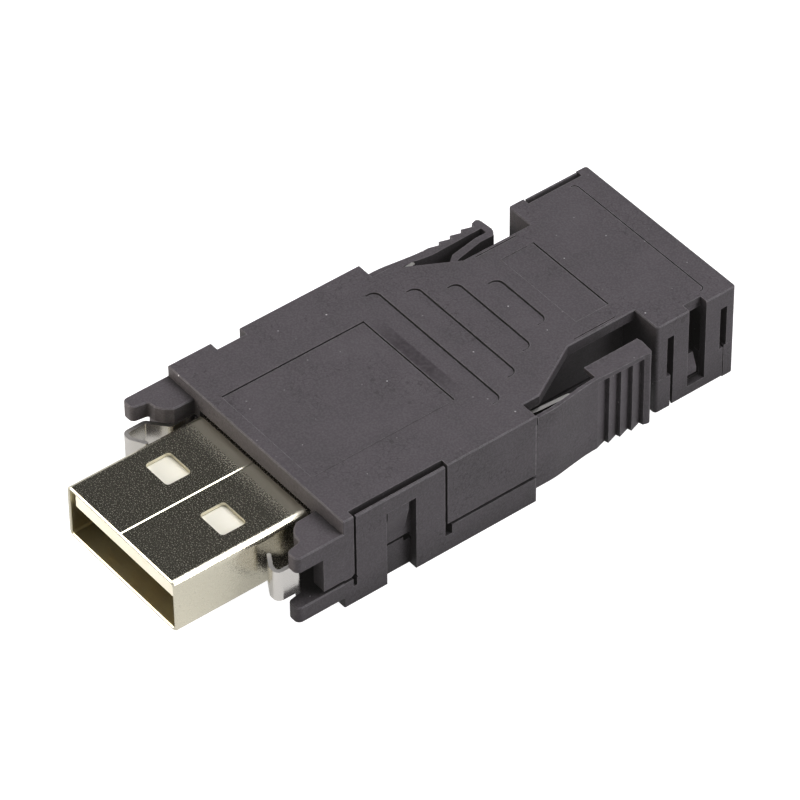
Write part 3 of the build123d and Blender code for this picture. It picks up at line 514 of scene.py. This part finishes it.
# %% [markdown]
# ## Spring steel, tinned sheet and gold
#
# The hook strips are stainless spring steel, brushed along their length, which is y. Their flat
# faces keep that shine, but their upper and lower edges were sheared and tumbled, and scatter more
# light. The surface normal in the piece's own coordinates tells the two apart. Drawing the brush
# lines as a texture would need an unwrapped strip, while a noise stretched along y needs nothing.
# At 0.05 mm the lines are as fine as real ones, and the eye sees them as a soft streak along the
# strip. The inner shields and the ferrule are tinned, and the contacts have a thin flash of gold.

# %% Brushed metals
BRUSH_MM = 0.05
BRUSH_STRETCH = 0.08
BRUSH_HEIGHT_MM = 0.008
SHEARED_ROUGHNESS = 0.42
EDGE_NORMAL_Z = 0.6


def brushed_metal(name, colour, roughness):
    """Bump = noise stretched along y; roughness = sheared where the face looks up or down."""
    material, tree, place = start_material(name)
    stretched = add_node(tree, "ShaderNodeMapping", inputs={
        "Vector": place, "Scale": (1.0, BRUSH_STRETCH, 1.0)})
    lines = add_node(tree, "ShaderNodeTexNoise", inputs={
        "Vector": stretched.outputs["Vector"], "Scale": 1 / (BRUSH_MM * MM), "Detail": 2.0})
    bump = add_node(tree, "ShaderNodeBump", inputs={
        "Height": lines.outputs["Fac"], "Strength": 0.25, "Distance": BRUSH_HEIGHT_MM * MM})
    normal = add_node(tree, "ShaderNodeTexCoord").outputs["Normal"]
    facing = add_node(tree, "ShaderNodeSeparateXYZ", inputs={"Vector": normal})
    upright = add_node(tree, "ShaderNodeMath", {"operation": "ABSOLUTE"}, {
        0: facing.outputs["Z"]})
    sheared = add_node(tree, "ShaderNodeMath", BEYOND, {
        0: upright.outputs[0], 1: EDGE_NORMAL_Z})
    rough = add_node(tree, "ShaderNodeMath", TIMES_PLUS, {
        0: sheared.outputs[0], 1: SHEARED_ROUGHNESS - roughness, 2: roughness})
    metal = add_node(tree, "ShaderNodeBsdfPrincipled", inputs={
        "Base Color": hex_linear(colour), "Metallic": 1.0, "Roughness": rough.outputs[0],
        "Normal": bump.outputs["Normal"]})
    finish_with(tree, metal)
    return material


# Brushed stainless: a cool, clear shine along the strip.
strip_steel = brushed_metal("stainless_spring_steel", "#d3d0cc", 0.2)
# Tin on steel sheet: a greyer and softer shine.
inner_tin = brushed_metal("tinned_sheet", "#c9c6c0", 0.35)
# Gold over nickel: a warm glint.
contact_gold = brushed_metal("gold_flash", "#d9b35b", 0.25)
print("metals made:", strip_steel.name, inner_tin.name, contact_gold.name)

# %% [markdown]
# ## Moulded ivory
#
# The tongue, which shows at the mouth and through the shield's windows, is LCP: a stiff ivory
# plastic that takes soldering heat. As it fills the mould it leaves a faint flow pattern, some 2 mm
# wide. One flat colour would look like paper, so a slow noise turns between two close swatches. The
# wire block and its cap are plain nylon, made in the same way and a little greyer.

# %% Light plastics
FLOW_MM = 1.8
FLOW_RANGE = (0.3, 0.7)


def light_moulding(name, light_colour, dark_colour, roughness):
    """Base colour = slow noise between two close swatches."""
    material, tree, place = start_material(name)
    flow = add_node(tree, "ShaderNodeTexNoise", inputs={
        "Vector": place, "Scale": 1 / (FLOW_MM * MM), "Detail": 3.0})
    tones = add_node(tree, "ShaderNodeValToRGB", inputs={"Fac": flow.outputs["Fac"]},
                     stops=[(FLOW_RANGE[0], dark_colour), (FLOW_RANGE[1], light_colour)])
    body = add_node(tree, "ShaderNodeBsdfPrincipled", inputs={
        "Base Color": tones.outputs["Color"], "Roughness": roughness})
    finish_with(tree, body)
    return material


# Moulded LCP: warm ivory with a soft sheen.
tongue_ivory = light_moulding("ivory_lcp", "#fbf8ec", "#f4f0e0", 0.4)
# Moulded nylon: greyer, and a touch more matt.
holder_white = light_moulding("natural_nylon", "#dedad0", "#d2cec4", 0.5)
print("light plastics made:", tongue_ivory.name, holder_white.name)

# %% [markdown]
# ## Hand each solid its finish
#
# The record of the part says which finish each solid takes, by the name of its material slot. The
# pieces could be dressed one by one, but a table from slot to finish can't forget any of them. No
# solid is moved or reshaped.

# %% Dress the solids
finish_of_slot = {
    "housing": housing_plastic,
    "spring_steel": strip_steel,
    "shield": shield_plate,
    "insulator": tongue_ivory,
    "contact": contact_gold,
    "wire_holder": holder_white,
    "inner_shield": inner_tin,
    "ferrule": inner_tin,
}
for entry in frame["record"]["subparts"]:
    piece = nodes[entry["node"]]
    piece.data.materials.clear()
    piece.data.materials.append(finish_of_slot[entry["material_slot"]])

# %% [markdown]
# ## The table
#
# The plug lies on a pale table that goes white in the picture, as a lit sheet of paper would. A
# white sheet under strong lamps could do that, but it would throw so much light up that the dark
# sides of the housing turned grey. So the sheet glows for the camera, and a little for mirrors,
# because the bright side of the shield shows the table. For matt plastic it is only a grey sheet.
# The table is staging, and isn't part of the plug.

# %% Table
FLOOR_Z = cad_low.z
TABLE_HALF = 1.2
TABLE_GREY = 0.4
MIRROR_GLOW = 0.45
WHITE = (1.0, 1.0, 1.0, 1.0)
corners = np.array([(-1, -1, 0), (1, -1, 0), (1, 1, 0), (-1, 1, 0)]) * TABLE_HALF
corners[:, 2] = FLOOR_Z
table_mesh = bpy.data.meshes.new("table")
table_mesh.from_pydata(corners.tolist(), [], [(0, 1, 2, 3)])
table = bpy.data.objects.new("table", table_mesh)
scene.collection.objects.link(table)
table_finish, tree, place = start_material("pale_table")
sheet = add_node(tree, "ShaderNodeBsdfPrincipled", inputs={
    "Base Color": (TABLE_GREY, TABLE_GREY, TABLE_GREY, 1.0), "Roughness": 0.9})
ray = add_node(tree, "ShaderNodeLightPath")
strength = add_node(tree, "ShaderNodeMath", TIMES_PLUS, {
    0: ray.outputs["Is Glossy Ray"], 1: MIRROR_GLOW, 2: ray.outputs["Is Camera Ray"]})
glow = add_node(tree, "ShaderNodeEmission", inputs={
    "Color": WHITE, "Strength": strength.outputs[0]})
glowing_sheet = add_node(tree, "ShaderNodeAddShader", inputs={
    0: sheet.outputs["BSDF"], 1: glow.outputs["Emission"]})
finish_with(tree, glowing_sheet)
table_mesh.materials.append(table_finish)
print("table at", round(FLOOR_Z / MM, 2), "mm")

# %% [markdown]
# ## The room
#
# Three kinds of ray see three rooms. The camera sees white. Mirrors see a room that is bright near
# the floor and dark overhead, which is why the top of the shield looks dark although it is bright
# metal, while its sides are light. Matt surfaces get a weak, even fill, so shadows stay open. One
# white room for all would be simpler, but then all of the metal would turn white.

# %% Room
FILL_STRENGTH = 0.07
ROOM_GREYS = [(0.0, 0.9), (0.25, 0.75), (0.45, 0.1), (0.75, 0.045), (1.0, 0.25)]
world = bpy.data.worlds.new("studio")
scene.world = world
world.use_nodes = True
tree = world.node_tree
tree.nodes.clear()
ray = add_node(tree, "ShaderNodeLightPath")
direction = add_node(tree, "ShaderNodeTexCoord").outputs["Generated"]
parts = add_node(tree, "ShaderNodeSeparateXYZ", inputs={"Vector": direction})
greys = add_node(tree, "ShaderNodeValToRGB", inputs={"Fac": parts.outputs["Z"]},
                 stops=ROOM_GREYS)
mirrored = add_node(tree, "ShaderNodeBackground", inputs={
    "Color": greys.outputs["Color"], "Strength": 1.0})
fill = add_node(tree, "ShaderNodeBackground", inputs={
    "Color": WHITE, "Strength": FILL_STRENGTH})
white = add_node(tree, "ShaderNodeBackground", inputs={"Color": WHITE, "Strength": 1.0})
lit = add_node(tree, "ShaderNodeMixShader", inputs={
    0: ray.outputs["Is Glossy Ray"], 1: fill.outputs[0], 2: mirrored.outputs[0]})
shown = add_node(tree, "ShaderNodeMixShader", inputs={
    0: ray.outputs["Is Camera Ray"], 1: lit.outputs[0], 2: white.outputs[0]})
add_node(tree, "ShaderNodeOutputWorld", inputs={"Surface": shown.outputs[0]})
print("fill strength:", FILL_STRENGTH)

# %% [markdown]
# ## The lamps
#
# A large soft lamp overhead lights the top faces. A smaller one at the right stands where the
# shield's right top edge mirrors it into the lens, which draws that edge as a bright line, and it
# lights the right sides. A weak one in front opens the front faces. A small card close to the mouth
# lights the ivory tongue. A stronger front lamp could do that too, but it would light the front
# walls of the grip teeth, which are dark in the picture. The card is so near that little of its
# light gets that far back.

# %% Lamps
AIM_MM = Vector((0.0, 22.0, 0.0))


def soft_lamp(name, way, distance, size, power, tint):
    """A square lamp at a distance along a direction, turned to face the plug's middle."""
    lamp = bpy.data.lights.new(name, "AREA")
    lamp.shape = "SQUARE"
    lamp.size = size
    lamp.energy = power
    lamp.color = hex_linear(tint)[:3]
    holder = bpy.data.objects.new(name, lamp)
    scene.collection.objects.link(holder)
    toward = Vector(way).normalized()
    holder.location = AIM_MM * MM + toward * distance
    holder.rotation_euler = (-toward).to_track_quat("-Z", "Y").to_euler()
    holder.visible_camera = False
    print(name, "stands", round(math.degrees(math.asin(toward.z))), "degrees up")


soft_lamp("front_lamp", way=(-0.42, -0.76, 0.42), distance=0.45, size=0.28, power=0.4,
          tint="#fffdf8")
soft_lamp("top_lamp", way=(0.1, 0.3, 1.0), distance=0.5, size=0.35, power=1.46, tint="#fbfbff")
soft_lamp("right_lamp", way=(0.68, 0.45, 0.58), distance=0.45, size=0.2, power=1.08,
          tint="#ffffff")
soft_lamp("mouth_card", way=(-0.42, -0.9, 0.04), distance=0.07, size=0.05, power=0.046,
          tint="#fff8ea")

# %% [markdown]
# ## The camera
#
# The camera was found by fitting the shield, whose size is a standard, and the housing's corners
# to where they lie in the picture. It stands about 0.38 m away and looks down at the plug from its
# right front corner through a long lens, so the plug's edges run nearly parallel. A camera in
# Blender looks straight down at first, so it is rolled a little, tilted up and then turned.

# %% Camera
CAMERA_MM = Vector((220.43, -146.61, 260.41))
TURN_DEGREES = 52.393
TILT_DEGREES = 46.976
ROLL_DEGREES = -0.672
LENS_PIXELS = 5660.6
PICTURE_PIXELS = 800
camera_data = bpy.data.cameras.new("camera")
camera_data.sensor_width = 36.0
camera_data.lens = LENS_PIXELS * camera_data.sensor_width / PICTURE_PIXELS
camera_data.clip_start = 0.01
camera_data.clip_end = 10.0
camera = bpy.data.objects.new("camera", camera_data)
scene.collection.objects.link(camera)
turn = Matrix.Rotation(math.radians(TURN_DEGREES), 4, "Z")
tilt = Matrix.Rotation(math.radians(TILT_DEGREES), 4, "X")
roll = Matrix.Rotation(math.radians(ROLL_DEGREES), 4, "Z")
camera.matrix_world = Matrix.Translation(CAMERA_MM * MM) @ turn @ tilt @ roll
scene.camera = camera
scene.view_settings.view_transform = "Standard"
print("lens in mm:", round(camera_data.lens, 1))
